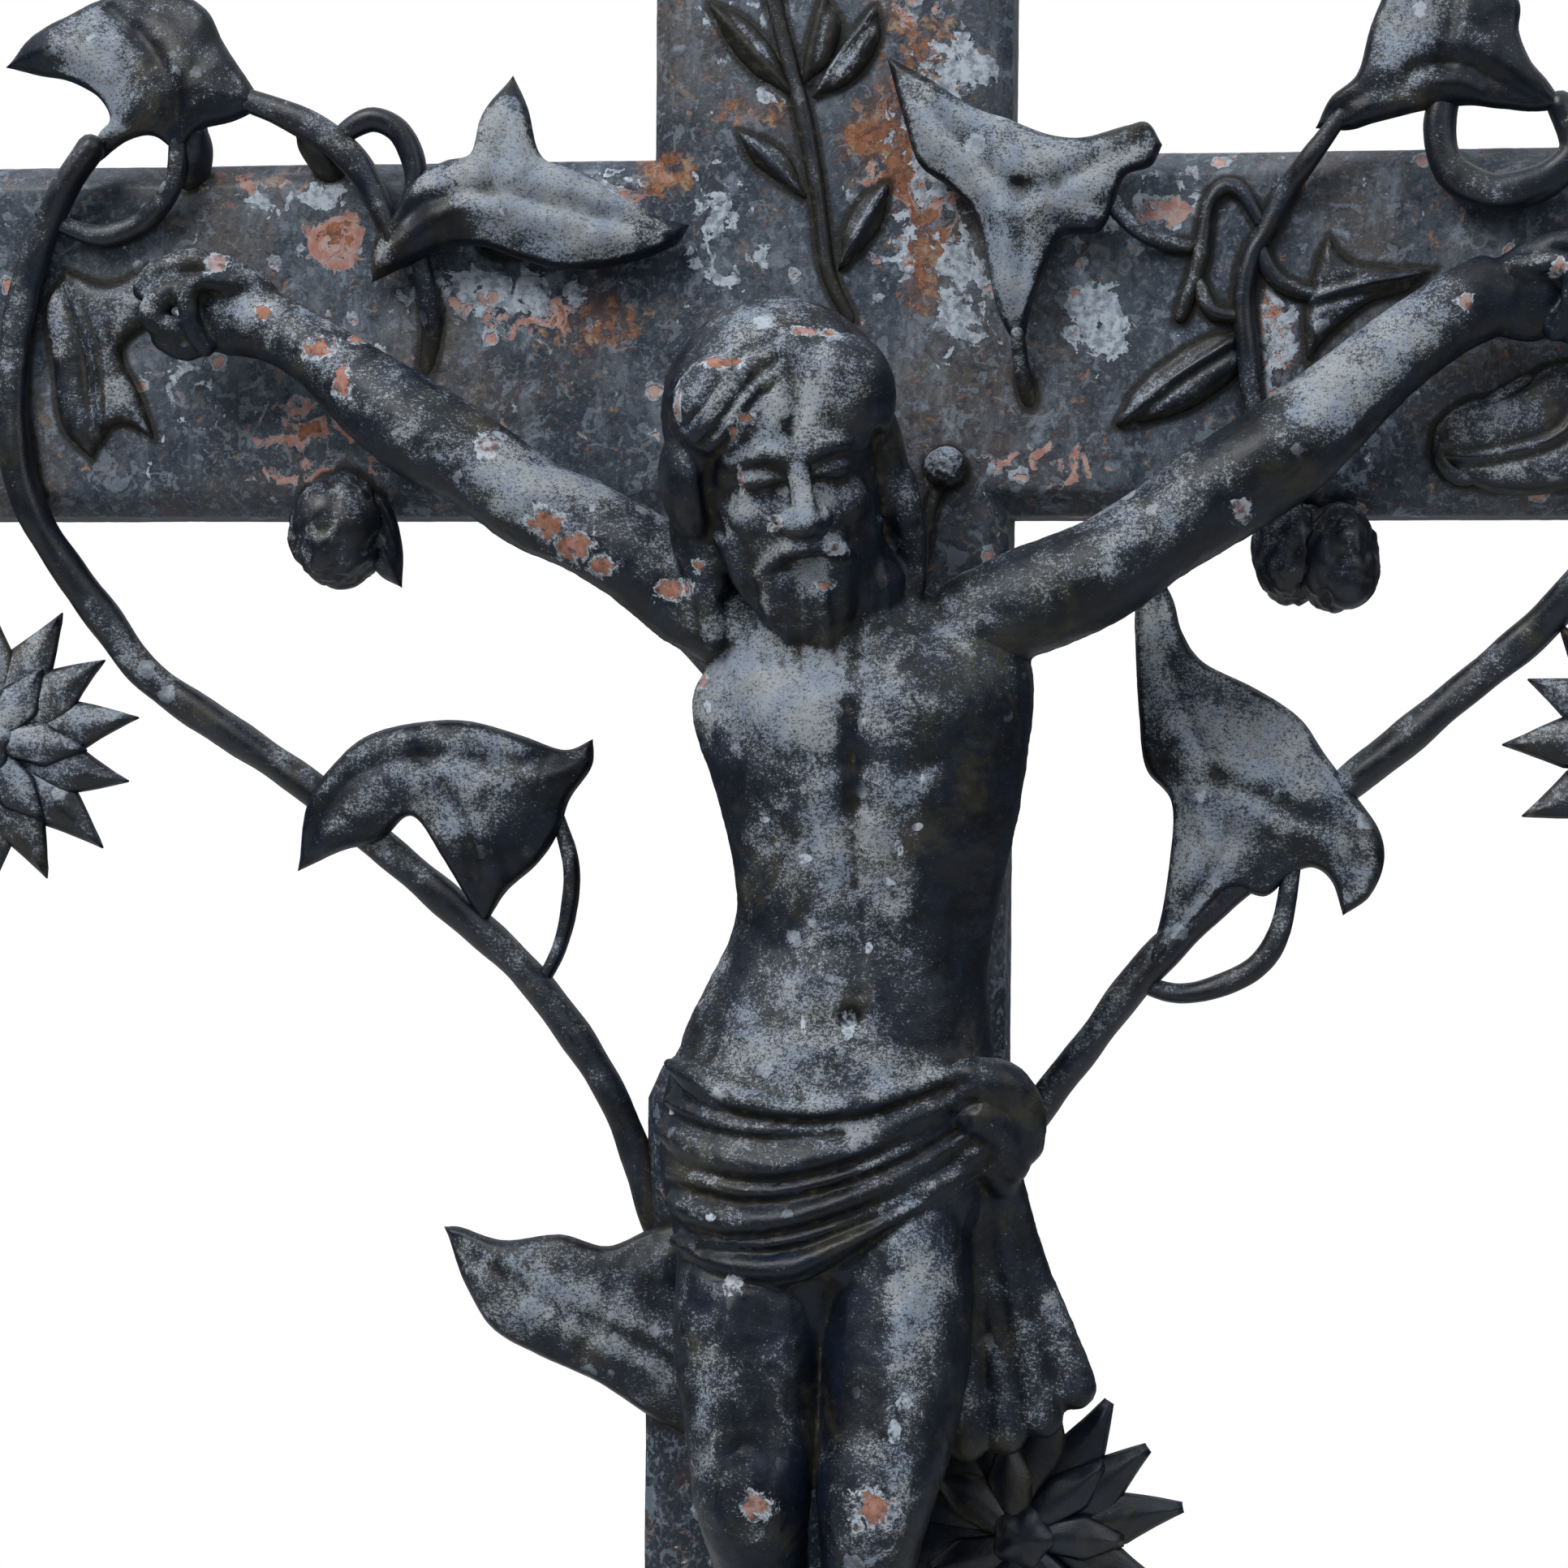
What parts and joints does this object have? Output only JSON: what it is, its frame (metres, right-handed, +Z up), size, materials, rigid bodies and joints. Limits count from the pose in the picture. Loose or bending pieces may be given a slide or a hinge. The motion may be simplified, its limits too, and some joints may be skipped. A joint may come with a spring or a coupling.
{
  "type": "cast iron crucifix",
  "caption": "Standing cast iron crucifix: a cross of flat chamfered planks grown over with bindweed vines, leaves and flowers, with a draped figure on its front and a low stepped foot.",
  "frame": {"origin": "middle of the foot's underside, which is the bottom centre of the whole part", "axes": "+Z up along the upright, +X along the crossbeam to the viewer's right, the figure faces -Y"},
  "size_m": [0.624, 0.232, 1.072],
  "materials": {
    "plank_paint": "weathered slate gray paint with flakes down to pink primer and rust",
    "figure_paint": "worn black paint with chalky gray bloom and chipped spots",
    "foot_paint": "weathered black paint"
  },
  "bodies": {
    "root": {"cross": "plank_paint", "corpus": "figure_paint", "base": "foot_paint"}
  },
  "joints": []
}
